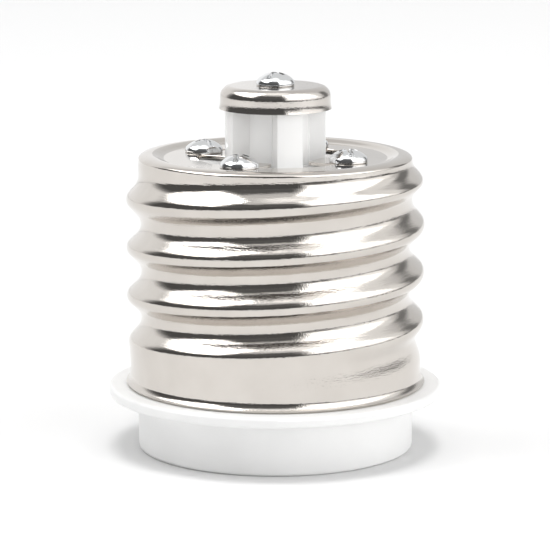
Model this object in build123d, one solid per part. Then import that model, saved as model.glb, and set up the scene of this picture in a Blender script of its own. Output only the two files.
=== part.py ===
"""Lamp socket adapter: a large screw cap above, a medium screw socket below.

Millimetres, +Z up. The adapter stands on the mouth of its socket: z = 0 is the drum's lower face
and Z is the common axis of both screw shells. The camera side of the object is -Y.
"""
import os
from math import asin, atan, cos, degrees, hypot, pi, radians, sin, sqrt, tan

from build123d import *

# Large screw shell: sheet, thread and skirt
cap_crest_r = 19.55       # outside of the thread crests
cap_thread_depth = 1.9
cap_pitch = 6.35
cap_phase_z = 23.46       # height of a crest on the +X side
cap_crest_round = 1.2
cap_root_round = 2.0
cap_sheet = 0.45
skirt_in = 0.4            # plain skirt below the thread, inside the crests
skirt_h = 2.2             # flange to the first of the thread
lip_h = 1.35
lip_turn = 60.0           # degrees that the lip turns out
low_run = 7.0             # height over which the thread fades into the skirt
high_run = 3.2            # and into the shoulder
groove_low = 2.8          # flange to the height where the lowest groove begins
groove_run = 3.2          # rise over which that groove reaches its full depth
shallow_h = 9.0           # stretch below the shoulder where the roots rise
shallow_rise = 0.3        # and by how much

# Large screw shell: shoulder and dished top plate
shoulder_in = 1.65        # plain wall above the thread, inside the crests
shoulder_round = 0.6
shoulder_wall = 0.1       # plain wall between the thread and the rounded shoulder
shell_h = 30.45           # flange to the ridge of the top plate
dish_depth = 0.5
dish_slope = 27.0         # degrees
opening_r = 10.2
tab_w = 4.8
tab_end_r = 5.7           # inner end of the tabs, inside the pillar's notches
tab_corner = 0.6

# White moulding
drum_r = 18.15
drum_h = 7.1
drum_draft = 0.05
drum_edge = 0.45
flange_r = 21.9
flange_t = 1.4
flange_edge = 0.4
core_gap = 0.3            # between the core and the thread roots
pad_r = 2.1               # pads that the tabs rest on
pad_h = 0.25
web_t = 7.25              # between the two sockets' floors
pillar_h = 9.63
pillar_core_r = 4.45
rib_w = 3.5
rib_edge = 0.2
rib_deg = 107.5           # first rib, the rest follow every quarter turn
mouth_lead = 0.9          # chamfer at the socket's mouth

# Contact cap on the pillar
cup_r = 7.22
cup_rim_h = 1.2
cup_rim_turn = 16.0       # degrees that the rim turns out
cup_h = 3.1
cup_sheet = 0.5
cup_round = 1.4
cup_gap = 0.12            # around the pillar

# Screws, all with the same pan head
screw_r = 1.25
head_r = 2.52
head_h = 1.7
head_side = 0.55          # straight side of the head below its dome
slot_w = 0.7
slot_depth = 0.75
cross_w = 0.62
cross_span = 2.7
cross_depth = 1.25
centre_slot_deg = 60.0    # slots as they stand in the photo, from +X
shell_slot_deg = [40.0, 123.0, 75.0, 100.0]
tip_out = 0.6             # thread that stands out past nut or collar
tip_chamfer = 0.3
screw_gap = 0.1           # around a shank in a clearance hole
thread_gap = 0.02         # around a shank in a threaded hole
screw_circle_r = 10.5
first_screw_deg = 64.0    # the rest follow every quarter turn

# Medium screw shell inside the moulding
sock_crest_r = 13.32      # inside of the thread, at its widest
sock_thread_depth = 1.12
sock_pitch = 3.629
sock_thread_round = 1.0   # of crests and roots alike
sock_sheet = 0.4
sock_gap = 0.35           # between the sheet and the moulding's bore
sock_mouth_inset = 3.0    # lower edge of the sheet above the drum's face
sock_end_h = 4.2          # plain wall above the thread
sock_round = 1.2
sock_hole_r = 7.5         # clears the contact leaf
collar_wall = 0.5
collar_h = 1.0

# Centre contact of the medium socket
leaf_w = 5.6
leaf_t = 0.4
leaf_bend_r = 2.9         # inside of the bend
leaf_root = 3.1           # axis to the start of the bend
leaf_tail = 3.4           # axis to the ends of root and arm
leaf_corner = 1.2
nut_flat = 5.0
nut_h = 2.0
stud_r = 2.6
stud_h = 1.1
stud_dome = 0.7
stud_shank_r = 1.0
stud_rivet_r = 1.6
stud_rivet_h = 0.45
stud_gap = 0.05           # between the stud and the leaf

# Sampling of the two rolled threads
strips_per_pitch = 10
points_per_turn = 20

# Heights and radii that follow
cap_root_r = cap_crest_r - cap_thread_depth
skirt_r = cap_crest_r - skirt_in
shoulder_r = cap_crest_r - shoulder_in
flange_top = drum_h + flange_t
ridge_z = flange_top + shell_h
plate_top = ridge_z - dish_depth
plate_under = plate_top - cap_sheet
floor_z = plate_under - pad_h
ceiling_z = floor_z - web_t
pillar_top = floor_z + pillar_h
cup_top = pillar_top + cup_sheet
pillar_r = cup_r - cup_sheet - cup_gap
core_r = cap_root_r - cap_sheet - core_gap
bore_r = sock_crest_r + sock_sheet + sock_gap
leaf_under = ceiling_z - leaf_t
nut_under = leaf_under - nut_h
arm_top = leaf_under - 2 * leaf_bend_r
arm_under = arm_top - leaf_t
cap_low_z = flange_top + skirt_h
cap_high_z = ridge_z - shoulder_round - shoulder_wall
sock_crest_out = sock_crest_r + sock_sheet
sock_wall_r = sock_crest_out - sock_thread_depth / 2
sock_high_z = ceiling_z - sock_end_h
clear_r = screw_r + screw_gap
tapped_r = screw_r + thread_gap
collar_r = tapped_r + collar_wall
screw_count = len(shell_slot_deg)
screw_angles = [first_screw_deg + 360.0 * k / screw_count for k in range(screw_count)]
rib_angles = [rib_deg + 360.0 * k / screw_count for k in range(screw_count)]

BASE = (Align.CENTER, Align.CENTER, Align.MIN)


def cylinder(radius, low, high):
    """An upright cylinder between two heights."""
    return Pos(0, 0, low) * Cylinder(radius, high - low, align=BASE)


def at_screws(shape):
    """The shape, which stands on the +X side, repeated at each screw's angle."""
    return [Rot(0, 0, angle) * shape for angle in screw_angles]


def turned(lines):
    """A solid turned about Z from a closed outline of radius and height."""
    return revolve(Plane.XZ * make_face(lines), Axis.Z)


def eased(share):
    """A smooth step from 0 to 1."""
    inside = min(max(share, 0.0), 1.0)
    return inside * inside * (3 - 2 * inside)


def thread_drop(offset, pitch, depth, crest_round, root_round):
    """How far a point of a rolled thread lies below its crests, at an offset along the axis from one.

    The section is a crest arc and a root arc joined by a straight flank.
    """
    half = pitch / 2
    rounds = crest_round + root_round
    flank = asin(rounds / hypot(half, rounds - depth)) - atan((rounds - depth) / half)
    from_crest = abs((offset + half) % pitch - half)
    crest_end = crest_round * sin(flank)
    if from_crest < crest_end:
        return crest_round - sqrt(crest_round**2 - from_crest**2)
    from_root = half - from_crest
    if from_root < root_round * sin(flank):
        return depth - root_round + sqrt(root_round**2 - from_root**2)
    return crest_round * (1 - cos(flank)) + (from_crest - crest_end) * tan(flank)


def cap_radius(angle, z):
    """Outside of the large shell's threaded wall, whose lowest groove begins gradually."""
    offset = z - cap_phase_z - cap_pitch * angle / (2 * pi)
    groove_z = z - offset % cap_pitch + cap_pitch / 2
    drop = thread_drop(offset, cap_pitch, cap_thread_depth, cap_crest_round, cap_root_round)
    drop *= 1 - shallow_rise / cap_thread_depth * eased((z - cap_high_z + shallow_h) / high_run)
    drop *= eased((groove_z - flange_top - groove_low) / groove_run)
    reach = skirt_r + (skirt_in - drop) * eased((z - cap_low_z) / low_run)
    return shoulder_r + (reach - shoulder_r) * eased((cap_high_z - z) / high_run)


def sock_radius(angle, z):
    """Outside of the medium shell's threaded wall."""
    fade = sock_pitch / 2
    offset = z - sock_high_z - sock_pitch * angle / (2 * pi)
    drop = thread_drop(offset, sock_pitch, sock_thread_depth, sock_thread_round, sock_thread_round)
    reach = sock_crest_out - drop * eased((z - sock_mouth_inset) / fade)
    return sock_wall_r + (reach - sock_wall_r) * eased((sock_high_z - z) / fade)


def threaded_sleeve(radius, low, high, pitch, sheet):
    """A sheet sleeve whose outside is radius(angle, z), between two ends given as height and radius.

    The ends are round, and the skin is ruled between level sections.
    """
    low_z, low_r = low
    high_z, high_r = high

    def section(z, inset):
        points = []
        for k in range(points_per_turn):
            angle = 2 * pi * k / points_per_turn
            reach = radius(angle, z) - inset
            points.append(Vector(reach * cos(angle), reach * sin(angle), z))
        return Wire([Edge.make_spline(points, periodic=True)])

    def skin(inset):
        strips = round((high_z - low_z) / pitch * strips_per_pitch)
        step = (high_z - low_z) / strips
        sections = [Pos(0, 0, low_z) * Wire.make_circle(low_r - inset)]
        sections += [section(low_z + step * k, inset) for k in range(1, strips)]
        sections += [Pos(0, 0, high_z) * Wire.make_circle(high_r - inset)]
        return Solid.make_loft(sections, True)

    return skin(0.0) - skin(sheet)


def dished_plate(hole_r, wall_low_z):
    """The large shell's shoulder, ridge and dished plate, turned, down to wall_low_z."""
    slope = radians(dish_slope)
    fold_r = dish_depth / (2 * (1 - cos(slope)))
    round_c = (shoulder_r - shoulder_round, ridge_z - shoulder_round)
    ridge_c = (shoulder_r - shoulder_round, ridge_z - fold_r)
    dish_c = (ridge_c[0] - 2 * fold_r * sin(slope), ridge_c[1] + 2 * fold_r * cos(slope))
    turn = dish_slope
    upper = [
        CenterArc(round_c, shoulder_round, 0, 90),
        CenterArc(ridge_c, fold_r, 90, turn),
        CenterArc(dish_c, fold_r, 270 + turn, -turn),
    ]
    lower = [
        CenterArc(round_c, shoulder_round - cap_sheet, 0, 90),
        CenterArc(ridge_c, fold_r - cap_sheet, 90, turn),
        CenterArc(dish_c, fold_r + cap_sheet, 270 + turn, -turn),
    ]
    top_edge = Polyline(upper[-1] @ 1, (hole_r, plate_top), (hole_r, plate_under), lower[-1] @ 1)
    wall = Polyline(
        lower[0] @ 0,
        (shoulder_r - cap_sheet, wall_low_z),
        (shoulder_r, wall_low_z),
        upper[0] @ 0,
    )
    return turned(upper + lower + [top_edge, wall])


def flared_end(wall_r, top_z, height, turn, sheet):
    """The lower end of a sheet wall that bends out: outside, edge and inside of its outline."""
    bend_r = height / sin(radians(turn)) - sheet
    bend_c = (wall_r + bend_r, top_z)
    outside = CenterArc(bend_c, bend_r, 180, turn)
    inside = CenterArc(bend_c, bend_r + sheet, 180, turn)
    return [outside, Line(outside @ 1, inside @ 1), inside]


def lipped_skirt(high_z):
    """The large shell's plain skirt with its out-turned lip, from the flange up to high_z."""
    lip = flared_end(skirt_r, flange_top + lip_h, lip_h, lip_turn, cap_sheet)
    wall = Polyline(lip[0] @ 0, (skirt_r, high_z), (skirt_r - cap_sheet, high_z), lip[2] @ 0)
    return turned(lip + [wall])


def make_outer_shell():
    """The large screw shell: one pressing with thread, skirt, shoulder, dished top and four tabs."""
    sleeve = threaded_sleeve(cap_radius, (cap_low_z, skirt_r), (cap_high_z, shoulder_r), cap_pitch, cap_sheet)
    shell = lipped_skirt(cap_low_z) + sleeve + dished_plate(opening_r, cap_high_z)
    tab_reach = screw_circle_r + head_r - tab_end_r
    tab = Pos(tab_end_r, 0, plate_under) * Box(tab_reach, tab_w, cap_sheet,
                                               align=(Align.MIN, Align.CENTER, Align.MIN))
    tab = fillet(tab.edges().filter_by(Axis.Z).group_by(Axis.X)[0], tab_corner)
    hole = Pos(screw_circle_r, 0, 0) * cylinder(clear_r, plate_under - cap_sheet, ridge_z)
    return shell + at_screws(tab) - at_screws(hole)


def make_pillar():
    """The cross-shaped pillar: a round core with a rib between each pair of screws."""
    core = cylinder(pillar_core_r, floor_z, pillar_top)
    rib = Pos(0, 0, floor_z) * Box(2 * pillar_r, rib_w, pillar_h, align=(Align.MIN, Align.CENTER, Align.MIN))
    rib = rib & cylinder(pillar_r, floor_z, pillar_top)
    outer_edges = [e for e in rib.edges().filter_by(Axis.Z) if hypot(e.center().X, e.center().Y) > pillar_core_r]
    rib = fillet(outer_edges, rib_edge)
    blank = cylinder(pillar_r, floor_z, pillar_top)
    blank = chamfer(blank.edges().sort_by(Axis.Z)[-1], cup_round - cup_sheet)
    return (core + [Rot(0, 0, angle) * rib for angle in rib_angles]) & blank


def make_insulating_body():
    """The white moulding: drum, flange, core, platform with pads, and pillar."""
    drum = Cone(drum_r - drum_draft, drum_r, drum_h, align=BASE)
    drum = fillet(drum.edges().sort_by(Axis.Z)[0], drum_edge)
    flange = cylinder(flange_r, drum_h, flange_top)
    flange = fillet(flange.edges().filter_by(GeomType.CIRCLE), flange_edge)
    core = cylinder(core_r, drum_h, floor_z)
    core = chamfer(core.edges().sort_by(Axis.Z)[-1], core_gap)
    pad = Pos(screw_circle_r, 0, 0) * cylinder(pad_r, floor_z - pad_h, plate_under)
    body = drum + flange + core + make_pillar() + at_screws(pad)
    socket = cylinder(bore_r, 0, ceiling_z)
    mouth = Cone(bore_r + mouth_lead, bore_r, mouth_lead, align=BASE)
    screw_hole = Pos(screw_circle_r, 0, 0) * cylinder(clear_r, 0, ridge_z)
    centre_hole = cylinder(clear_r, 0, cup_top)
    return body - socket - mouth - at_screws(screw_hole) - centre_hole


def make_contact_cap():
    """The large cap's centre contact: a drawn cup with a rounded edge and a flared rim."""
    round_c = (cup_r - cup_round, cup_top - cup_round)
    outside = CenterArc(round_c, cup_round, 0, 90)
    inside = CenterArc(round_c, cup_round - cup_sheet, 0, 90)
    top = Polyline(outside @ 1, (clear_r, cup_top), (clear_r, pillar_top), inside @ 1)
    rim = flared_end(cup_r, cup_top - cup_h + cup_rim_h, cup_rim_h, cup_rim_turn, cup_sheet)
    walls = [Line(outside @ 0, rim[0] @ 0), Line(inside @ 0, rim[2] @ 0)]
    return turned([outside, inside, top] + rim + walls)


def make_pan_screw(length, slot_deg):
    """A pan head screw along -Z with its head's underside at z = 0, slot and cross recess combined."""
    dome_h = head_h - head_side
    dome_r = (head_r**2 + dome_h**2) / (2 * dome_h)
    dome = Pos(0, 0, head_h - dome_r) * Sphere(dome_r)
    head = cylinder(head_r, 0, head_h) & dome
    shank = cylinder(screw_r, -length, 0)
    shank = chamfer(shank.edges().sort_by(Axis.Z)[0], tip_chamfer)
    top = (Align.CENTER, Align.CENTER, Align.MAX)
    slot = Pos(0, 0, head_h) * Box(2 * head_r, slot_w, slot_depth, align=top)
    cross = Pos(0, 0, head_h) * Box(cross_span, cross_w, cross_depth, align=top)
    recess = slot + cross + Rot(0, 0, 90) * cross
    return Rot(0, 0, slot_deg) * (head + shank - recess)


def make_shell_screws():
    """The four screws that hold the large shell to the moulding and reach the medium shell."""
    length = plate_top - (ceiling_z - sock_sheet - collar_h) + tip_out
    screws = []
    for angle, slot_deg in zip(screw_angles, shell_slot_deg):
        place = Rot(0, 0, angle) * Pos(screw_circle_r, 0, plate_top)
        screws.append(place * make_pan_screw(length, slot_deg - angle))
    return Compound(screws)


def make_centre_screw():
    """The long screw from the contact cap down to the nut under the leaf."""
    return Pos(0, 0, cup_top) * make_pan_screw(cup_top - nut_under + tip_out, centre_slot_deg)


def make_inner_shell():
    """The medium screw shell: a drawn cup with a rolled thread, an end plate and four drawn collars."""
    ends = (sock_mouth_inset, sock_crest_out), (sock_high_z, sock_wall_r)
    sleeve = threaded_sleeve(sock_radius, *ends, sock_pitch, sock_sheet)
    round_c = (sock_wall_r - sock_round, ceiling_z - sock_round)
    outside = CenterArc(round_c, sock_round, 0, 90)
    inside = CenterArc(round_c, sock_round - sock_sheet, 0, 90)
    plate = Polyline(outside @ 1, (sock_hole_r, ceiling_z), (sock_hole_r, ceiling_z - sock_sheet), inside @ 1)
    wall_in = (sock_wall_r - sock_sheet, sock_high_z)
    wall = Polyline(inside @ 0, wall_in, (sock_wall_r, sock_high_z), outside @ 0)
    collar = Pos(screw_circle_r, 0, 0) * cylinder(collar_r, ceiling_z - sock_sheet - collar_h, ceiling_z)
    hole = Pos(screw_circle_r, 0, 0) * cylinder(tapped_r, sock_high_z, ceiling_z + sock_sheet)
    return turned([outside, inside, plate, wall]) + sleeve + at_screws(collar) - at_screws(hole)


def make_contact_leaf():
    """The medium socket's contact spring: a strip bent back under its own root."""
    bend_c = (leaf_root, leaf_under - leaf_bend_r)
    outer_bend = CenterArc(bend_c, leaf_bend_r + leaf_t, 90, -180)
    inner_bend = CenterArc(bend_c, leaf_bend_r, 90, -180)
    root = Polyline(outer_bend @ 0, (-leaf_tail, ceiling_z), (-leaf_tail, leaf_under), inner_bend @ 0)
    arm = Polyline(outer_bend @ 1, (-leaf_tail, arm_under), (-leaf_tail, arm_top), inner_bend @ 1)
    strip = make_face([outer_bend, root, inner_bend, arm])
    leaf = extrude(Plane.XZ * strip, leaf_w / 2, both=True)
    leaf = fillet(leaf.edges().filter_by(Axis.Z).group_by(Axis.X)[0], leaf_corner)
    screw_hole = cylinder(clear_r, nut_under, ceiling_z)
    stud_hole = cylinder(stud_shank_r + stud_gap, arm_under, arm_top)
    return Rot(0, 0, rib_angles[0]) * (leaf - screw_hole - stud_hole)


def make_centre_nut():
    """The hexagon nut that clamps the leaf under the web, its corners chamfered."""
    corner_r = nut_flat / sqrt(3)
    round_blank = cylinder(corner_r, nut_under, leaf_under)
    round_blank = chamfer(round_blank.edges().sort_by(Axis.Z)[0], corner_r - nut_flat / 2)
    hexagon = Pos(0, 0, nut_under) * extrude(RegularPolygon(corner_r, 6), nut_h)
    return (hexagon & round_blank) - cylinder(tapped_r, nut_under, leaf_under)


def make_contact_stud():
    """The contact rivet in the leaf's arm, which the lamp presses up."""
    head_top = arm_under - stud_gap
    rivet_low = arm_top + stud_gap
    tip = head_top - stud_h
    dome_r = (stud_r**2 + stud_dome**2) / (2 * stud_dome)
    dome = CenterArc((0, tip + dome_r), dome_r, 270, degrees(asin(stud_r / dome_r)))
    outline = Polyline(
        dome @ 1,
        (stud_r, head_top),
        (stud_shank_r, head_top),
        (stud_shank_r, rivet_low),
        (stud_rivet_r, rivet_low),
        (stud_rivet_r - stud_rivet_h / 2, rivet_low + stud_rivet_h),
        (0, rivet_low + stud_rivet_h),
        (0, tip),
    )
    return turned([dome, outline])


PARTS = {
    "insulating_body": make_insulating_body,
    "outer_shell": make_outer_shell,
    "contact_cap": make_contact_cap,
    "centre_screw": make_centre_screw,
    "shell_screws": make_shell_screws,
    "inner_shell": make_inner_shell,
    "contact_leaf": make_contact_leaf,
    "centre_nut": make_centre_nut,
    "contact_stud": make_contact_stud,
}

os.makedirs("parts", exist_ok=True)
for node, make in PARTS.items():
    export_step(make(), f"parts/{node}.step")
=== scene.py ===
"""Looks for the lamp socket adapter: rolled nickel shells, zinc screws, white moulding, studio light.

Shapes are worked out in millimetres in the part's own frame and scaled when a mesh is made.
"""
from math import asin, atan, cos, hypot, pi, radians, sin, sqrt, tan

import bmesh
import bpy
from mathutils import Matrix, Vector
from mathutils.geometry import delaunay_2d_cdt


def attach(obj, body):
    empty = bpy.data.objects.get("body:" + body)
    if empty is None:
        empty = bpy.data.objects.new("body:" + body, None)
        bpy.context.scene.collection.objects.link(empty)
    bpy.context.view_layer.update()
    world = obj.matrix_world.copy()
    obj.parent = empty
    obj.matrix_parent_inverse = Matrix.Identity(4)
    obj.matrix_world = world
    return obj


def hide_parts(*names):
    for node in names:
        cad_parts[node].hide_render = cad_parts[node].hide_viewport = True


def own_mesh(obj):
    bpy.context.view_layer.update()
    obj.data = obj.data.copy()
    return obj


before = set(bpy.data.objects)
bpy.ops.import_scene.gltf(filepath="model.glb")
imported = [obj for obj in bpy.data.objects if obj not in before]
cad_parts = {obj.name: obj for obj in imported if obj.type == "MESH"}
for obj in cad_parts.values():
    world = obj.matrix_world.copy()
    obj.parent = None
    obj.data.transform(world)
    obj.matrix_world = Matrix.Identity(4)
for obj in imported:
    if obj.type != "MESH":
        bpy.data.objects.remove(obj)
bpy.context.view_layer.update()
scene = bpy.context.scene
MM = 0.001

# Sizes shared with the CAD source, in millimetres: large shell
DEPTH, PITCH, PHASE_Z, SHEET = 1.9, 6.35, 23.46, 0.45
CREST_ROUND, ROOT_ROUND = 1.2, 2.0
SKIRT_R, SKIRT_IN, SHOULDER_R, SHOULDER_ROUND = 19.15, 0.4, 17.9, 0.6
FLANGE_TOP, RIDGE_Z, DISH, DISH_SLOPE = 8.5, 38.95, 0.5, radians(27.0)
THREAD_LOW, THREAD_HIGH, LOW_RUN, HIGH_RUN = 10.7, 38.25, 7.0, 3.2
GROOVE_LOW, GROOVE_RUN = 11.3, 3.2
RISE, RISE_H = 0.3, 9.0
LIP_H, LIP_TURN = 1.35, radians(60.0)
OPENING_R, TAB_W, TAB_END_R, TAB_CORNER = 10.2, 4.8, 5.7, 0.6
PLATE_TOP, PLATE_UNDER = 38.45, 38.0

# Contact cap and screws
CUP_R, CUP_TOP, CUP_H, CUP_SHEET, CUP_ROUND = 7.22, 47.88, 3.1, 0.5, 1.4
CUP_RIM_H, CUP_RIM_TURN = 1.2, radians(16.0)
SCREW_R, HEAD_R, HEAD_H, HEAD_SIDE = 1.25, 2.52, 1.7, 0.55
CLEAR_R, TAPPED_R = 1.35, 1.27
SLOT_W, SLOT_DEPTH, CROSS_SPAN, CROSS_W = 0.7, 0.75, 2.7, 0.62
SHELL_SCREW_L, CENTRE_SCREW_L = 9.95, 20.38
SCREW_CIRCLE_R, FIRST_SCREW = 10.5, 64.0
SHELL_SLOTS, CENTRE_SLOT = [40.0, 123.0, 75.0, 100.0], 60.0
SCREW_ANGLES = [radians(FIRST_SCREW + 90.0 * k) for k in range(4)]

# Medium shell and its centre contact
SOCK_CREST, SOCK_DEPTH, SOCK_PITCH, SOCK_THREAD_ROUND, SOCK_SHEET = 13.72, 1.12, 3.629, 1.0, 0.4
SOCK_LOW, SOCK_HIGH, SOCK_WALL, SOCK_ROUND, SOCK_HOLE_R = 3.0, 26.3, 13.16, 1.2, 7.5
CEILING, COLLAR_R, COLLAR_H = 30.5, 1.77, 1.0
LEAF_W, LEAF_T, LEAF_BEND, LEAF_ROOT, LEAF_TAIL, LEAF_CORNER = 5.6, 0.4, 2.9, 3.1, 3.4, 1.2
LEAF_TURN = radians(107.5)
NUT_FLAT, NUT_H = 5.0, 2.0
STUD_R, STUD_H, STUD_DOME, STUD_SHANK_R, STUD_GAP = 2.6, 1.1, 0.7, 1.0, 0.05
RIVET_R, RIVET_H = 1.6, 0.45

# Sizes that only the scene has
ROUND = 0.06              # softening of sheet edges
PIN_R = 0.02              # hair-thin hole left on the axis of a screw
NEAR_AXIS = 0.01          # radians by which a dome stops short of the axis
RIM_W = 1.5               # breadth of the top plate's rim, softer than in the CAD source
LAST_TURN = 2             # the thread's last turn, counted from the crest at PHASE_Z
TOP_SHIFT = 0.45          # how far the groove above the last turn moves up
TOP_CREST = 0.5           # stretch above the crest that stays in place
TOP_FLANK = 2.2           # and the stretch over which the shift comes in
TOP_FROM = 33.3           # height of the last crest where the shift begins
TOP_RUN = 1.2             # and the crest's rise until it is complete
CROSS_DEPTH = 1.3         # the recess tapers, so it is a little deeper than in the CAD source
SHELL_SCREW_THREAD, CENTRE_SCREW_THREAD = 2.4, 3.4


def eased(share):
    """A smooth step from 0 to 1."""
    inside = min(max(share, 0.0), 1.0)
    return inside * inside * (3 - 2 * inside)


def thread_drop(offset, pitch, depth, crest_round, root_round):
    """How far a point of a rolled thread lies below its crests, at an offset along the axis from one."""
    half = pitch / 2
    rounds = crest_round + root_round
    flank = asin(rounds / hypot(half, rounds - depth)) - atan((rounds - depth) / half)
    from_crest = abs((offset + half) % pitch - half)
    crest_end = crest_round * sin(flank)
    if from_crest < crest_end:
        return crest_round - sqrt(crest_round**2 - from_crest**2)
    from_root = half - from_crest
    if from_root < root_round * sin(flank):
        return depth - root_round + sqrt(root_round**2 - from_root**2)
    return crest_round * (1 - cos(flank)) + (from_crest - crest_end) * tan(flank)


def cap_radius(angle, z):
    """Outside of the large shell's wall, its thread fading into the skirt and the shoulder."""
    offset = z - PHASE_Z - PITCH * angle / (2 * pi)
    groove_z = z - offset % PITCH + PITCH / 2
    last_z = PHASE_Z + PITCH * (LAST_TURN + (angle / (2 * pi) + 0.5) % 1 - 0.5)
    if z > last_z:
        above = z - last_z
        shift = TOP_SHIFT * eased((last_z - TOP_FROM) / TOP_RUN)
        offset = above - shift * eased((above - TOP_CREST) / TOP_FLANK)
    drop = thread_drop(offset, PITCH, DEPTH, CREST_ROUND, ROOT_ROUND)
    drop *= 1 - RISE / DEPTH * eased((z - THREAD_HIGH + RISE_H) / HIGH_RUN)
    drop *= eased((groove_z - GROOVE_LOW) / GROOVE_RUN)
    reach = SKIRT_R + (SKIRT_IN - drop) * eased((z - THREAD_LOW) / LOW_RUN)
    return SHOULDER_R + (reach - SHOULDER_R) * eased((THREAD_HIGH - z) / HIGH_RUN)


def sock_radius(angle, z):
    """Outside of the medium shell's wall, its thread fading out at both ends."""
    fade = SOCK_PITCH / 2
    offset = z - SOCK_HIGH - SOCK_PITCH * angle / (2 * pi)
    drop = thread_drop(offset, SOCK_PITCH, SOCK_DEPTH, SOCK_THREAD_ROUND, SOCK_THREAD_ROUND)
    reach = SOCK_CREST - drop * eased((z - SOCK_LOW) / fade)
    return SOCK_WALL + (reach - SOCK_WALL) * eased((SOCK_HIGH - z) / fade)


def arc(centre, radius, start, sweep, count):
    """Points of an arc, start and sweep in radians."""
    points = []
    for k in range(count + 1):
        a = start + sweep * k / count
        points.append((centre[0] + radius * cos(a), centre[1] + radius * sin(a)))
    return points


def circle(centre, radius, count):
    return arc(centre, radius, 0, 2 * pi * (count - 1) / count, count - 1)


def spaced(low, high, count):
    return [low + (high - low) * k / count for k in range(count + 1)]


def turned(x, y, angle):
    return x * cos(angle) - y * sin(angle), x * sin(angle) + y * cos(angle)


class Builder:
    """Collects vertices in millimetres and faces, and makes one smooth-shaded mesh object of them."""

    def __init__(self):
        self.verts = []
        self.faces = []

    def add(self, points):
        first = len(self.verts)
        self.verts += points
        return list(range(first, len(self.verts)))

    def strip(self, one, other):
        """Quads between two closed rings of as many vertices."""
        count = len(one)
        for k in range(count):
            after = (k + 1) % count
            self.faces.append((one[k], one[after], other[after], other[k]))

    def rings(self, chains, closed=False):
        """Rings from one chain of (r, z) per angle, joined in order; returns the first and last ring."""
        count = len(chains)
        levels = len(chains[0])
        made = []
        for level in range(levels):
            points = []
            for k in range(count):
                r, z = chains[k][level]
                a = 2 * pi * k / count
                points.append((r * cos(a), r * sin(a), z))
            made.append(self.add(points))
        for low, high in zip(made, made[1:]):
            self.strip(high, low)
        if closed:
            self.strip(made[0], made[-1])
        return made[0], made[-1]

    def object(self, name, sharp=32.0):
        mesh = bpy.data.meshes.new(name)
        mesh.from_pydata([(x * MM, y * MM, z * MM) for x, y, z in self.verts], [], self.faces)
        mesh.validate()
        bm = bmesh.new()
        bm.from_mesh(mesh)
        bmesh.ops.recalc_face_normals(bm, faces=bm.faces)
        bm.to_mesh(mesh)
        bm.free()
        mesh.shade_smooth()
        mesh.set_sharp_from_angle(angle=radians(sharp))
        made = bpy.data.objects.new(name, mesh)
        scene.collection.objects.link(made)
        return made


def lathe(name, outline, segments):
    """A turned solid from a closed outline of (r, z)."""
    built = Builder()
    built.rings([outline] * segments, closed=True)
    return built.object(name)


def flare(wall_r, top_z, height, turn, sheet, count):
    """Outside and inside arcs of a sheet wall that bends out at its lower end, both from the top down."""
    bend_r = height / sin(turn) - sheet
    centre = (wall_r + bend_r, top_z)
    return arc(centre, bend_r, pi, turn, count), arc(centre, bend_r + sheet, pi, turn, count)


def contains(loop, x, y):
    """Whether a point lies inside a closed loop."""
    inside = False
    count = len(loop)
    for k in range(count):
        (ax, ay), (bx, by) = loop[k], loop[(k + 1) % count]
        if (ay > y) != (by > y) and x < (bx - ax) * (y - ay) / (by - ay) + ax:
            inside = not inside
    return inside


def grown(loop, amount):
    """A counter-clockwise loop moved outwards by an amount."""
    count = len(loop)
    moved = []
    for k in range(count):
        (ax, ay), (bx, by) = loop[k - 1], loop[(k + 1) % count]
        length = hypot(bx - ax, by - ay)
        x = loop[k][0] + amount * (by - ay) / length
        y = loop[k][1] - amount * (bx - ax) / length
        moved.append((x, y))
    return moved


def tab_opening():
    """The top plate's opening with the four tabs reaching into it, counter-clockwise."""
    half = TAB_W / 2
    meet = asin(half / OPENING_R)
    side = OPENING_R * cos(meet)
    corner_x, corner_y = TAB_END_R + TAB_CORNER, half - TAB_CORNER
    along = [corner_x + (side - corner_x) * share for share in (0.75, 0.5, 0.25)]
    tab = [(side, -half)]
    tab += [(x, -half) for x in along]
    tab += arc((corner_x, -corner_y), TAB_CORNER, -pi / 2, -pi / 2, 6)
    tab += [(TAB_END_R, y) for y in spaced(-corner_y, corner_y, 6)[1:-1]]
    tab += arc((corner_x, corner_y), TAB_CORNER, pi, -pi / 2, 6)
    tab += [(x, half) for x in reversed(along)]
    loop = []
    for angle in SCREW_ANGLES:
        loop += [turned(x, y, angle) for x, y in tab]
        loop += arc((0, 0), OPENING_R, angle + meet, pi / 2 - 2 * meet, 28)[:-1]
    return loop


def holed_plate(built, outer_top, outer_under, loops, top, under):
    """A flat plate between an outer ring and inner loops, its inner edges softened."""
    def fill(ring, inner):
        ids = list(ring)
        edges = [(k, (k + 1) % len(ring)) for k in range(len(ring))]
        for loop in inner:
            first = len(ids)
            ids += loop
            edges += [(first + k, first + (k + 1) % len(loop)) for k in range(len(loop))]
        flat = [Vector(built.verts[i][:2]) for i in ids]
        found = delaunay_2d_cdt(flat, edges, [], 1, 1e-6)
        points, faces, sources = found[0], found[2], found[3]
        outlines = [[built.verts[i][:2] for i in loop] for loop in inner]
        for face in faces:
            x = sum(points[i].x for i in face) / len(face)
            y = sum(points[i].y for i in face) / len(face)
            if any(contains(outline, x, y) for outline in outlines):
                continue
            built.faces.append(tuple(ids[sources[i][0]] for i in face))

    top_rims, under_rims = [], []
    for loop in loops:
        wide = grown(loop, ROUND)
        rings = [
            built.add([(x, y, top) for x, y in wide]),
            built.add([(x, y, top - ROUND) for x, y in loop]),
            built.add([(x, y, under + ROUND) for x, y in loop]),
            built.add([(x, y, under) for x, y in wide]),
        ]
        for one, other in zip(rings, rings[1:]):
            built.strip(one, other)
        top_rims.append(rings[0])
        under_rims.append(rings[-1])
    fill(outer_top, top_rims)
    fill(outer_under, under_rims)


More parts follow.
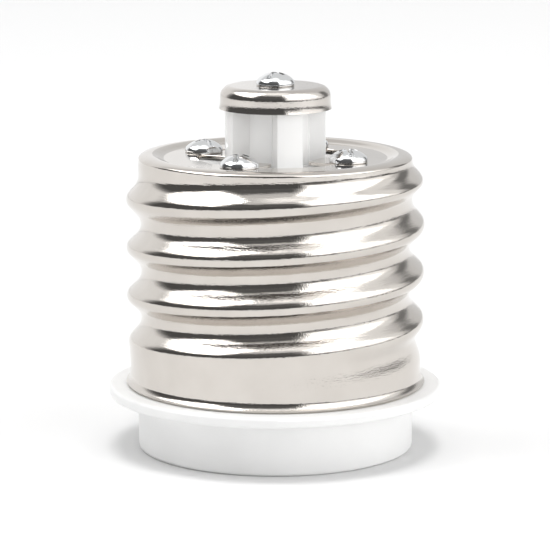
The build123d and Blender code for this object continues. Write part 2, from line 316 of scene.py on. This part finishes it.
def screw_centres():
    return [(SCREW_CIRCLE_R * cos(a), SCREW_CIRCLE_R * sin(a)) for a in SCREW_ANGLES]


def make_outer_shell():
    """The large shell: dished plate with tabs, soft rim, rolled thread, skirt and lip, inside and out."""
    segments, rim_steps = 240, 16
    fold_r = DISH / (2 * (1 - cos(DISH_SLOPE)))
    rim_x, rim_z = SHOULDER_R - RIM_W, RIDGE_Z - SHOULDER_ROUND
    ridge_c = (rim_x, RIDGE_Z - fold_r)
    dish_c = (ridge_c[0] - 2 * fold_r * sin(DISH_SLOPE), ridge_c[1] + 2 * fold_r * cos(DISH_SLOPE))

    def top_chain(inset):
        chain = arc(dish_c, fold_r + inset, -pi / 2, DISH_SLOPE, 8)
        chain += arc(ridge_c, fold_r - inset, pi / 2 + DISH_SLOPE, -DISH_SLOPE, 8)[1:]
        for k in range(1, rim_steps + 1):
            a = pi / 2 * (1 - k / rim_steps)
            r = rim_x + (RIM_W - inset) * cos(a)
            z = rim_z + (SHOULDER_ROUND - inset) * sin(a)
            chain.append((r, z))
        return chain

    lip_out, lip_in = flare(SKIRT_R, FLANGE_TOP + LIP_H, LIP_H, LIP_TURN, SHEET, 10)
    outer_levels = spaced(THREAD_HIGH, THREAD_LOW, 136)
    inner_levels = spaced(THREAD_LOW, THREAD_HIGH, 68)
    chains = []
    for k in range(segments):
        angle = 2 * pi * k / segments
        chain = top_chain(0.0)
        chain += [(cap_radius(angle, z), z) for z in outer_levels]
        chain += lip_out
        chain += lip_in[::-1]
        chain += [(cap_radius(angle, z) - SHEET, z) for z in inner_levels]
        chain += top_chain(SHEET)[::-1]
        chains.append(chain)
    built = Builder()
    first, last = built.rings(chains)
    loops = [tab_opening()] + [circle(c, CLEAR_R, 36) for c in screw_centres()]
    holed_plate(built, first, last, loops, PLATE_TOP, PLATE_UNDER)
    return built.object("outer_shell_pressing")


def make_contact_cap():
    """The cup on the pillar, with a rounded edge and a rim that turns out."""
    round_c = (CUP_R - CUP_ROUND, CUP_TOP - CUP_ROUND)
    rim_out, rim_in = flare(CUP_R, CUP_TOP - CUP_H + CUP_RIM_H, CUP_RIM_H, CUP_RIM_TURN, CUP_SHEET, 10)
    outline = [(CLEAR_R, CUP_TOP - CUP_SHEET), (CLEAR_R, CUP_TOP - ROUND), (CLEAR_R + ROUND, CUP_TOP)]
    outline += [(r, CUP_TOP) for r in spaced(CLEAR_R + ROUND, round_c[0], 6)[1:]]
    outline += arc(round_c, CUP_ROUND, pi / 2, -pi / 2, 16)[1:]
    outline += rim_out
    outline += rim_in[::-1]
    outline += arc(round_c, CUP_ROUND - CUP_SHEET, 0, pi / 2, 8)
    return lathe("contact_cap_pressing", outline, 192)


def evaluated(obj):
    """The object's mesh with its modifiers applied, as a new mesh."""
    depsgraph = bpy.context.evaluated_depsgraph_get()
    return bpy.data.meshes.new_from_object(obj.evaluated_get(depsgraph))


def box_cutter(size, centre):
    bm = bmesh.new()
    bmesh.ops.create_cube(bm, size=1.0)
    bmesh.ops.scale(bm, vec=Vector(size) * MM, verts=bm.verts)
    bmesh.ops.translate(bm, vec=Vector(centre) * MM, verts=bm.verts)
    mesh = bpy.data.meshes.new("cutter")
    bm.to_mesh(mesh)
    bm.free()
    made = bpy.data.objects.new("cutter", mesh)
    scene.collection.objects.link(made)
    return made


def cross_cutter(span, width, depth, top):
    """A recess cutter shaped like a cross driver: four wings that taper towards its tip."""
    overshoot, straight, tip = 0.3, 0.15, 0.45
    half_w, half_s = width / 2, span / 2
    plan = []
    for k in range(4):
        for x, y in ((half_w, -half_w), (half_s, -half_w), (half_s, half_w)):
            plan.append(turned(x, y, pi / 2 * k))
    built = Builder()
    upper = built.add([(x, y, top + overshoot) for x, y in plan])
    mid = built.add([(x, y, top - straight) for x, y in plan])
    low = built.add([(x * tip, y * tip, top - depth) for x, y in plan])
    built.strip(upper, mid)
    built.strip(mid, low)
    built.faces.append(tuple(upper))
    built.faces.append(tuple(low))
    return built.object("cutter")


def screw_head(slot_deg):
    """A domed pan head with a crown edge, slot and cross recess; its underside is at z = 0."""
    crown, foot, soft_w, soft_from = 0.16, 0.1, 0.05, 38.0
    dome_h = HEAD_H - HEAD_SIDE
    dome_r = (HEAD_R**2 + dome_h**2) / (2 * dome_h)
    dome_c = (0.0, HEAD_H - dome_r)
    low_angle = asin((HEAD_SIDE - dome_c[1] + crown) / dome_r)
    outline = [(PIN_R, 0.0), (HEAD_R - foot, 0.0), (HEAD_R, foot), (HEAD_R, HEAD_SIDE - crown)]
    outline += arc(dome_c, dome_r, low_angle, pi / 2 - low_angle - NEAR_AXIS, 20)
    head = lathe("head", outline, 72)
    cutters = [
        box_cutter((2.2 * HEAD_R, SLOT_W, 2 * SLOT_DEPTH), (0, 0, HEAD_H)),
        cross_cutter(CROSS_SPAN, CROSS_W, CROSS_DEPTH, HEAD_H),
    ]
    for cutter in cutters:
        cut = head.modifiers.new("cut", "BOOLEAN")
        cut.operation = "DIFFERENCE"
        cut.solver = "EXACT"
        cut.object = cutter
    soft = head.modifiers.new("soft", "BEVEL")
    soft.width = soft_w * MM
    soft.segments = 2
    soft.limit_method = "ANGLE"
    soft.angle_limit = radians(soft_from)
    mesh = evaluated(head)
    for obj in cutters + [head]:
        bpy.data.objects.remove(obj)
    mesh.transform(Matrix.Rotation(radians(slot_deg), 4, "Z"))
    return mesh


def shank_mesh(length, threaded):
    """A shank from z = 0 down, plain above and with a cut machine thread over its lower end."""
    pitch, minor, segments, steps = 0.45, 0.96, 28, 8
    groove_gain, crest_land = 1.25, 0.2
    tip_h, tip_in = 0.35, 0.25
    plain_z = -(length - threaded)
    levels = [0.0, plain_z]
    levels += spaced(plain_z, -length, int(threaded / pitch * steps))[1:]
    chains = []
    for k in range(segments):
        chain = [(PIN_R, 0.0)]
        for z in levels:
            wave = (z / pitch - k / segments) % 1.0
            groove = 1 - abs(2 * wave - 1)
            run_in = eased((plain_z - z) / pitch)
            tip = eased((z + length) / tip_h)
            deep = (SCREW_R - minor) * max(0.0, groove * groove_gain - crest_land) * run_in
            chain.append((SCREW_R - deep - tip_in * (1 - tip), z))
        chain.append((PIN_R, -length))
        chains.append(chain)
    built = Builder()
    built.rings(chains, closed=True)
    made = built.object("shank")
    mesh = made.data
    bpy.data.objects.remove(made)
    return mesh


def screw_mesh(length, slot_deg, threaded):
    bm = bmesh.new()
    for mesh in (screw_head(slot_deg), shank_mesh(length, threaded)):
        bm.from_mesh(mesh)
    made = bpy.data.meshes.new("screw")
    bm.to_mesh(made)
    bm.free()
    return made


def joined(name, placed, sharp=34.0):
    """One object from meshes and their places in millimetres."""
    bm = bmesh.new()
    for mesh, place in placed:
        copy = mesh.copy()
        copy.transform(Matrix.Translation(Vector(place) * MM))
        bm.from_mesh(copy)
    made = bpy.data.meshes.new(name)
    bm.to_mesh(made)
    bm.free()
    made.shade_smooth()
    made.set_sharp_from_angle(angle=radians(sharp))
    obj = bpy.data.objects.new(name, made)
    scene.collection.objects.link(obj)
    return obj


def make_shell_screws():
    placed = []
    for slot_deg, (x, y) in zip(SHELL_SLOTS, screw_centres()):
        placed.append((screw_mesh(SHELL_SCREW_L, slot_deg, SHELL_SCREW_THREAD), (x, y, PLATE_TOP)))
    return joined("shell_screws_pan_head", placed)


def make_centre_screw():
    mesh = screw_mesh(CENTRE_SCREW_L, CENTRE_SLOT, CENTRE_SCREW_THREAD)
    return joined("centre_screw_pan_head", [(mesh, (0, 0, CUP_TOP))])


def make_inner_shell():
    """The medium shell: threaded wall, rounded end and a holed end plate with four tapped collars."""
    segments, hole_segments = 180, 36
    fillet, fillet_mid = 0.3, 0.08
    round_c = (SOCK_WALL - SOCK_ROUND, CEILING - SOCK_ROUND)
    outer_levels = spaced(SOCK_HIGH, SOCK_LOW, 96)
    inner_levels = spaced(SOCK_LOW, SOCK_HIGH, 144)
    chains = []
    for k in range(segments):
        angle = 2 * pi * k / segments
        chain = arc(round_c, SOCK_ROUND, pi / 2, -pi / 2, 8)
        chain += [(sock_radius(angle, z), z) for z in outer_levels]
        chain += [(sock_radius(angle, z) - SOCK_SHEET, z) for z in inner_levels]
        chain += arc(round_c, SOCK_ROUND - SOCK_SHEET, 0, pi / 2, 8)
        chains.append(chain)
    built = Builder()
    first, last = built.rings(chains)
    under = CEILING - SOCK_SHEET
    loops = [circle((0, 0), SOCK_HOLE_R, 72)]
    loops += [circle(c, TAPPED_R, hole_segments) for c in screw_centres()]
    holed_plate(built, first, last, loops, CEILING, under)
    low = under - COLLAR_H
    collar = [(COLLAR_R + fillet, under), (COLLAR_R + fillet_mid, under - fillet_mid)]
    collar += [(COLLAR_R, under - fillet), (COLLAR_R, low + ROUND), (COLLAR_R - ROUND, low)]
    collar += [(TAPPED_R + ROUND, low), (TAPPED_R, low + ROUND), (TAPPED_R, under)]
    for cx, cy in screw_centres():
        rings = []
        for r, z in collar:
            rings.append(built.add([(cx + x, cy + y, z) for x, y in circle((0, 0), r, hole_segments)]))
        for one, other in zip(rings, rings[1:] + rings[:1]):
            built.strip(one, other)
    return built.object("inner_shell_pressing")


def make_leaf():
    """The bent strip, its free ends rounded and its edges softened."""
    arm_steps, bend_steps = 26, 24
    bend_c = (LEAF_ROOT, CEILING - LEAF_T - LEAF_BEND)
    mid_r = LEAF_BEND + LEAF_T / 2
    path = [((x, bend_c[1] + mid_r), (0.0, 1.0)) for x in spaced(-LEAF_TAIL, LEAF_ROOT, arm_steps)]
    for k in range(1, bend_steps):
        a = pi / 2 - pi * k / bend_steps
        path.append(((bend_c[0] + mid_r * cos(a), bend_c[1] + mid_r * sin(a)), (cos(a), sin(a))))
    path += [((x, bend_c[1] - mid_r), (0.0, -1.0)) for x in spaced(LEAF_ROOT, -LEAF_TAIL, arm_steps)]
    built = Builder()
    made = []
    half = LEAF_T / 2
    for (x, z), (nx, nz) in path:
        from_end = x + LEAF_TAIL
        width = LEAF_W / 2
        if from_end < LEAF_CORNER:
            width -= LEAF_CORNER - sqrt(max(LEAF_CORNER**2 - (LEAF_CORNER - from_end) ** 2, 0.0))
        section = [(-width, ROUND - half), (ROUND - width, -half)]
        section += [(width - ROUND, -half), (width, ROUND - half)]
        section += [(width, half - ROUND), (width - ROUND, half)]
        section += [(ROUND - width, half), (-width, half - ROUND)]
        ring = []
        for y, out in section:
            ring.append((*turned(x + nx * out, y, LEAF_TURN), z + nz * out))
        made.append(built.add(ring))
    for one, other in zip(made, made[1:]):
        built.strip(one, other)
    built.faces.append(tuple(made[0]))
    built.faces.append(tuple(made[-1]))
    return built.object("contact_spring_leaf")


def make_stud():
    """The contact rivet: a domed head below the leaf's arm, a shank through it and a rivet head above."""
    edge_in, edge_h = 0.1, 0.04
    rivet_in, rivet_side, rivet_dome_r, rivet_start = 0.05, 0.08, 3.2, asin(0.955)
    arm_top = CEILING - LEAF_T - 2 * LEAF_BEND
    under, top = arm_top - LEAF_T - STUD_GAP, arm_top + STUD_GAP
    low = under - STUD_H
    dome_r = (STUD_R**2 + STUD_DOME**2) / (2 * STUD_DOME)
    dome_sweep = asin((STUD_R - edge_in) / dome_r) - NEAR_AXIS
    outline = arc((0, low + dome_r), dome_r, -pi / 2 + NEAR_AXIS, dome_sweep, 14)
    outline += [(STUD_R, low + STUD_DOME + edge_h), (STUD_R, under - ROUND), (STUD_R - ROUND, under)]
    outline += [(STUD_SHANK_R, under), (STUD_SHANK_R, top)]
    outline += [(RIVET_R - rivet_in, top), (RIVET_R, top + rivet_side)]
    rivet_c = (0, top + RIVET_H - rivet_dome_r)
    outline += arc(rivet_c, rivet_dome_r, rivet_start, pi / 2 - rivet_start - NEAR_AXIS, 8)
    return lathe("contact_stud_rivet", outline, 72)


def make_nut():
    """A hexagon nut with both faces' corners turned off and a countersunk hole."""
    segments, sharp = 72, 24.0
    sink, edge, corner_slope, face_share = 0.15, 0.08, 0.58, 0.94
    low, high = CEILING - LEAF_T - NUT_H, CEILING - LEAF_T
    flat = NUT_FLAT / 2
    face_r = flat * face_share
    chains = []
    for k in range(segments):
        reach = flat / cos((2 * pi * k / segments + pi / 6) % (pi / 3) - pi / 6)
        drop = edge + (reach - flat) * corner_slope
        chain = [(TAPPED_R, high - sink), (TAPPED_R + sink, high), (face_r, high)]
        chain += [(reach, high - drop), (reach, low + drop), (face_r, low)]
        chain += [(TAPPED_R + sink, low), (TAPPED_R, low + sink)]
        chains.append(chain)
    built = Builder()
    built.rings(chains, closed=True)
    return built.object("centre_nut_hex", sharp)


# Materials
GRAIN_DEPTH = 0.00002     # metres
GRAIN_SCALE = 5200.0      # features per metre


def new_material(name):
    material = bpy.data.materials.new(name)
    material.use_nodes = True
    nodes = material.node_tree.nodes
    return material, nodes, material.node_tree.links, nodes["Principled BSDF"]


def noise(nodes, links, where, scale, detail, stretch=None):
    """A noise texture in object coordinates; scale is in features per metre."""
    source = where
    if stretch is not None:
        mapping = nodes.new("ShaderNodeMapping")
        mapping.inputs["Scale"].default_value = stretch
        links.new(where, mapping.inputs["Vector"])
        source = mapping.outputs["Vector"]
    texture = nodes.new("ShaderNodeTexNoise")
    texture.inputs["Scale"].default_value = scale
    texture.inputs["Detail"].default_value = detail
    links.new(source, texture.inputs["Vector"])
    return texture.outputs["Fac"]


def spread(nodes, links, fac, low, high, start=0.3, end=0.7):
    """A value that runs from low to high while fac runs from start to end."""
    node = nodes.new("ShaderNodeMapRange")
    node.inputs["From Min"].default_value = start
    node.inputs["From Max"].default_value = end
    node.inputs["To Min"].default_value = low
    node.inputs["To Max"].default_value = high
    links.new(fac, node.inputs["Value"])
    return node.outputs["Result"]


def tinted(nodes, links, fac, one, other, start=0.3, end=0.7):
    """A colour that runs from one to the other while fac runs from start to end."""
    ramp = nodes.new("ShaderNodeValToRGB")
    ramp.color_ramp.elements[0].position = start
    ramp.color_ramp.elements[0].color = (*one, 1)
    ramp.color_ramp.elements[1].position = end
    ramp.color_ramp.elements[1].color = (*other, 1)
    links.new(fac, ramp.inputs["Fac"])
    return ramp.outputs["Color"]


def bumped(nodes, links, height, strength, under=None):
    bump = nodes.new("ShaderNodeBump")
    bump.inputs["Strength"].default_value = strength
    bump.inputs["Distance"].default_value = GRAIN_DEPTH
    links.new(height, bump.inputs["Height"])
    if under is not None:
        links.new(under, bump.inputs["Normal"])
    return bump.outputs["Normal"]


def heights(nodes, links, where):
    split = nodes.new("ShaderNodeSeparateXYZ")
    links.new(where, split.inputs["Vector"])
    return split.outputs["Z"]


def metal(name, one, other, rough, grain, grain_scale, streaks=0.0, smooth_above=None):
    """Plated or bare metal between two tints, with fine grain and, if asked, level rolling lines.

    The grain fades to a share of its strength between the two heights of smooth_above, in metres.
    """
    cloud_scale, roll_scale, roll_stretch, faded = 260.0, 5600.0, (0.08, 0.08, 1.0), 0.3
    material, nodes, links, shader = new_material(name)
    where = nodes.new("ShaderNodeTexCoord").outputs["Object"]
    cloud = noise(nodes, links, where, cloud_scale, 4.0)
    fine = noise(nodes, links, where, grain_scale, 2.0)
    shader.inputs["Metallic"].default_value = 1.0
    links.new(tinted(nodes, links, cloud, one, other), shader.inputs["Base Color"])
    links.new(spread(nodes, links, cloud, rough * 0.8, rough * 1.25), shader.inputs["Roughness"])
    normal = bumped(nodes, links, fine, grain)
    if smooth_above is not None:
        fade = spread(nodes, links, heights(nodes, links, where), grain, grain * faded, *smooth_above)
        links.new(fade, normal.node.inputs["Strength"])
    if streaks:
        rolled = noise(nodes, links, where, roll_scale, 2.0, roll_stretch)
        normal = bumped(nodes, links, rolled, streaks, normal)
    links.new(normal, shader.inputs["Normal"])
    return material


def moulding():
    """White satin plastic, glossier on the pillar than on the drum and flange."""
    one, other, cloud_scale, grain = (0.83, 0.83, 0.825), (0.87, 0.87, 0.865), 120.0, 0.06
    satin, glossy, satin_z, glossy_z = 0.42, 0.2, 0.030, 0.037
    material, nodes, links, shader = new_material("white_moulding_satin")
    where = nodes.new("ShaderNodeTexCoord").outputs["Object"]
    cloud = noise(nodes, links, where, cloud_scale, 3.0)
    fine = noise(nodes, links, where, GRAIN_SCALE, 2.0)
    links.new(tinted(nodes, links, cloud, one, other), shader.inputs["Base Color"])
    rough = spread(nodes, links, heights(nodes, links, where), satin, glossy, satin_z, glossy_z)
    links.new(rough, shader.inputs["Roughness"])
    links.new(bumped(nodes, links, fine, grain), shader.inputs["Normal"])
    shader.inputs["IOR"].default_value = 1.5
    return material


def repaint(obj, material):
    obj.data.materials.clear()
    obj.data.materials.append(material)


nickel = metal(
    "rolled_nickel", (0.63, 0.593, 0.552), (0.67, 0.633, 0.592), 0.05, 0.7, GRAIN_SCALE,
    streaks=0.5, smooth_above=(0.031, 0.0365),
)
cap_nickel = metal("cap_nickel", (0.62, 0.583, 0.547), (0.66, 0.623, 0.587), 0.06, 0.6, GRAIN_SCALE)
zinc = metal("bright_zinc", (0.80, 0.81, 0.82), (0.86, 0.865, 0.87), 0.06, 0.2, 3800.0)
bronze = metal("spring_bronze", (0.70, 0.48, 0.25), (0.78, 0.57, 0.32), 0.24, 0.1, 4200.0, streaks=0.05)
white = moulding()

# Pieces, each with the node that it replaces, its body, its slot and its material
pieces = [
    (make_outer_shell(), "outer_shell", "adapter", "nickel_shell", nickel),
    (make_contact_cap(), "contact_cap", "adapter", "nickel_cap", cap_nickel),
    (make_shell_screws(), "shell_screws", "adapter", "zinc_screws", zinc),
    (make_centre_screw(), "centre_screw", "adapter", "zinc_screws", zinc),
    (make_inner_shell(), "inner_shell", "adapter", "nickel_shell", nickel),
    (leaf := make_leaf(), "contact_leaf", "adapter", "spring_bronze", bronze),
    (make_nut(), "centre_nut", "adapter", "zinc_screws", zinc),
    (make_stud(), "contact_stud", "contact", "spring_bronze", bronze),
]
for piece, node, body, slot, material in pieces:
    repaint(piece, material)
    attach(piece, body)
    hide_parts(node)
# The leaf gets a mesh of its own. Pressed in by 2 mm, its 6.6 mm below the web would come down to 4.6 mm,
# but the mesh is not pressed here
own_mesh(leaf)
repaint(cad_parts["insulating_body"], white)

# Floor, in metres
FLOOR_HALF = 3
FLOOR_TONE = 0.785
floor_mesh = bpy.data.meshes.new("floor")
floor_corners = [(x * FLOOR_HALF, y * FLOOR_HALF, 0) for x, y in ((-1, -1), (1, -1), (1, 1), (-1, 1))]
floor_mesh.from_pydata(floor_corners, [], [(0, 1, 2, 3)])
floor = bpy.data.objects.new("floor", floor_mesh)
floor.location.z = -0.00002
scene.collection.objects.link(floor)
floor_material, _, _, floor_shader = new_material("pale_floor")
floor_shader.inputs["Base Color"].default_value = (FLOOR_TONE, FLOOR_TONE, FLOOR_TONE, 1)
floor_shader.inputs["Roughness"].default_value = 0.9
floor_shader.inputs["Specular IOR Level"].default_value = 0.0
repaint(floor, floor_material)

# The surroundings, as windows of the sky in degrees, each laid over those before it. The side is 0
# towards the camera and grows to the right, the height is 0 at the horizon.
PLAIN_LEVEL = 0.75        # brightness where there is no window
DIFFUSE_CUT = 0.5         # share of the surroundings' light that matt surfaces don't get
WINDOWS = (
    # left, right, low, high, softness of the left, right and level edges, brightness
    (-200, -122, -90, 34, 5, 5, 5, 1.0),     # wall behind on the left
    (-200, 200, 75, 120, 5, 5, 5, 1.5),      # ceiling
    (24, 112, -40, 20, 6, 6, 6, 1.35),       # low wall on the right
    (-119, 22, -4, 33, 12, 4, 3, 0.1),       # dim room in front and on the left
    (-50, 20, 30, 60, 7, 6, 5, 0.13),        # dim gap between the softboxes
    (-128, -57, 37, 76, 4, 4, 4, 4.0),       # left softbox
    (27, 104, 17, 72, 3, 4, 3, 2.3),         # right softbox
    (104, 124, 20, 56, 5, 5, 5, 1.05),       # its weaker outer edge
    (124, 143, 0, 31, 5, 5, 5, 0.24),        # dark gap behind on the right
    (20, 50, -1, 11, 4, 12, 3, 0.2),         # dark foot of the right softbox
    (20, 124, -2, 4, 4, 6, 2, 0.15),         # dark strip at the horizon on the right
)


def studio_world():
    """A light tent whose brightness depends on the direction, plain white where the camera sees it."""
    world = bpy.data.worlds.new("studio")
    scene.world = world
    world.use_nodes = True
    nodes, links = world.node_tree.nodes, world.node_tree.links
    back = nodes["Background"]
    back.inputs["Color"].default_value = (1, 1, 1, 1)

    def math(operation, *values):
        node = nodes.new("ShaderNodeMath")
        node.operation = operation
        for socket, value in zip(node.inputs, values):
            if isinstance(value, (int, float)):
                socket.default_value = value
            else:
                links.new(value, socket)
        return node.outputs[0]

    def edge(value, at, soft, rising):
        node = nodes.new("ShaderNodeMapRange")
        node.interpolation_type = "SMOOTHSTEP"
        node.inputs["From Min"].default_value = at - soft
        node.inputs["From Max"].default_value = at + soft
        node.inputs["To Min"].default_value = 0.0 if rising else 1.0
        node.inputs["To Max"].default_value = 1.0 if rising else 0.0
        links.new(value, node.inputs["Value"])
        return node.outputs["Result"]

    split = nodes.new("ShaderNodeSeparateXYZ")
    links.new(nodes.new("ShaderNodeTexCoord").outputs["Generated"], split.inputs["Vector"])
    x, y, z = split.outputs
    height = math("DEGREES", math("ARCSINE", z))
    side = math("DEGREES", math("ARCTAN2", x, math("MULTIPLY", y, -1.0)))
    level = PLAIN_LEVEL
    for left, right, low, high, soft_left, soft_right, soft_level, brightness in WINDOWS:
        window = math("MULTIPLY", edge(side, left, soft_left, True), edge(side, right, soft_right, False))
        window = math("MULTIPLY", window, edge(height, low, soft_level, True))
        window = math("MULTIPLY", window, edge(height, high, soft_level, False))
        step = math("SUBTRACT", brightness, level)
        level = math("ADD", level, math("MULTIPLY", step, window))
    path = nodes.new("ShaderNodeLightPath").outputs
    kept = math("SUBTRACT", 1.0, math("MULTIPLY", path["Is Diffuse Ray"], DIFFUSE_CUT))
    shown = math("MAXIMUM", math("MULTIPLY", level, kept), path["Is Camera Ray"])
    links.new(shown, back.inputs["Strength"])


def soft_light(name, place, aim, size, power):
    """A round lamp that lights matt surfaces and isn't seen itself, also not in the metal."""
    light = bpy.data.lights.new(name, "AREA")
    light.shape = "DISK"
    light.size = size
    light.energy = power
    made = bpy.data.objects.new(name, light)
    made.location = place
    made.rotation_euler = (Vector(aim) - Vector(place)).to_track_quat("-Z", "Y").to_euler()
    made.visible_glossy = False
    made.visible_camera = False
    scene.collection.objects.link(made)


studio_world()
soft_light("overhead", (0.0, 0.0, 1.8), (0, 0, 0.02), 0.9, 18.5)
soft_light("front_fill", (0.2, -0.78, 0.14), (0, 0, 0.03), 0.5, 0.9)
soft_light("left_fill", (-0.75, -0.3, 0.13), (0, 0, 0.03), 0.5, 1.4)
soft_light("right_fill", (0.75, -0.3, 0.13), (0, 0, 0.03), 0.5, 2.1)
soft_light("pillar_fill", (-0.03, -0.045, 0.085), (0, 0, 0.042), 0.03, 0.0048)
# Light that the bright plate throws back at the pillar's foot
soft_light("plate_bounce_right", (0.0115, -0.0075, 0.0392), (0.0035, -0.002, 0.043), 0.007, 0.00018)
soft_light("plate_bounce_front", (-0.001, -0.0135, 0.0392), (0, -0.004, 0.043), 0.007, 0.0001)

# Camera, fitted to the outlines in the photograph
SENSOR_W = 36.0
PICTURE_PX, FOCAL_PX, SHIFT_PX = 550.0, 3010.0, -0.4
DISTANCE, TILT, AIM_Z = 0.3961, radians(10.48), 0.02282
camera_data = bpy.data.cameras.new("camera")
camera = bpy.data.objects.new("camera", camera_data)
camera_data.sensor_width = SENSOR_W
camera_data.lens = FOCAL_PX / PICTURE_PX * SENSOR_W
camera_data.shift_x = SHIFT_PX / PICTURE_PX
camera_data.clip_start = 0.01
camera.location = (0, -DISTANCE * cos(TILT), AIM_Z + DISTANCE * sin(TILT))
camera.rotation_euler = (pi / 2 - TILT, 0, 0)
scene.collection.objects.link(camera)
scene.camera = camera
scene.view_settings.view_transform = "Standard"
scene.view_settings.look = "None"
